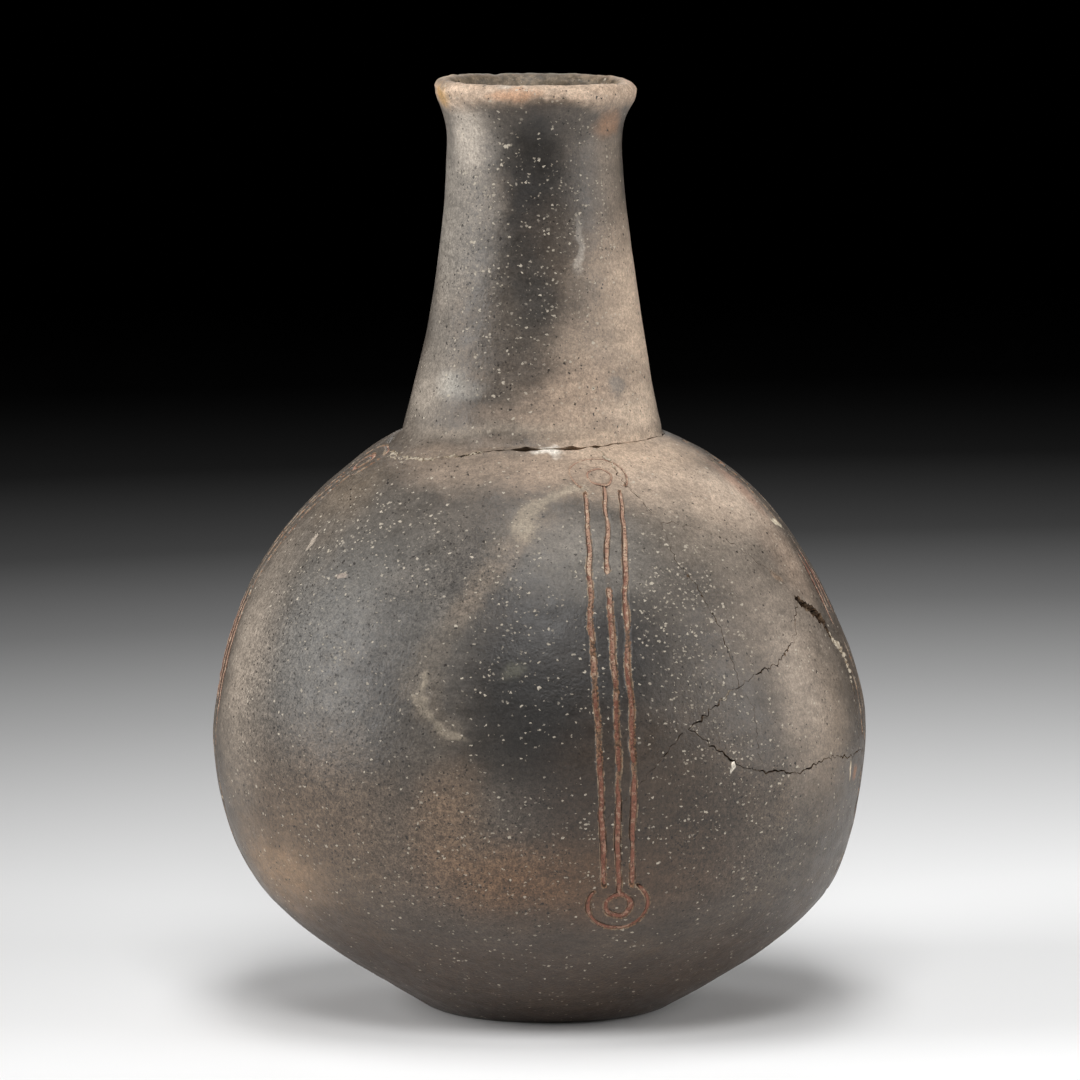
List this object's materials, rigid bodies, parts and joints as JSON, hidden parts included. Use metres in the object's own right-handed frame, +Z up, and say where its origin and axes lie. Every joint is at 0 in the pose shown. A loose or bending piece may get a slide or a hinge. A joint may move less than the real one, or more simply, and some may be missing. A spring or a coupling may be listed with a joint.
{
  "type": "bottle",
  "caption": "Hand-built ceramic bottle with a globular body, tall tapering neck, rolled lip and engraved line panels with ring ends.",
  "frame": {"origin": "on the plane that the base rests on, under the centre of the belly's widest circle", "axes": "+Z up through the neck, -Y towards the viewer of the pictured side, +X to that viewer's right"},
  "size_m": [0.1718, 0.1717, 0.2451],
  "materials": {
    "burnished_clay": "burnished, unglazed, smoke-clouded grey to brown",
    "red_ochre": "matt rubbed mineral pigment"
  },
  "bodies": {
    "root": {"body": "burnished_clay", "neck": "burnished_clay", "upper_sherd": "burnished_clay", "lower_sherd": "burnished_clay", "ochre_front_middle_line": "red_ochre", "ochre_front_left_line": "red_ochre", "ochre_front_right_line": "red_ochre", "ochre_front_upper_ring": "red_ochre", "ochre_front_lower_ring": "red_ochre", "ochre_right_middle_line": "red_ochre", "ochre_right_left_line": "red_ochre", "ochre_right_right_line": "red_ochre", "ochre_right_upper_ring": "red_ochre", "ochre_right_lower_ring": "red_ochre", "ochre_back_middle_line": "red_ochre", "ochre_back_left_line": "red_ochre", "ochre_back_right_line": "red_ochre", "ochre_back_upper_ring": "red_ochre", "ochre_back_lower_ring": "red_ochre", "ochre_left_middle_line": "red_ochre", "ochre_left_left_line": "red_ochre", "ochre_left_right_line": "red_ochre", "ochre_left_upper_ring": "red_ochre", "ochre_left_lower_ring": "red_ochre"}
  },
  "joints": []
}
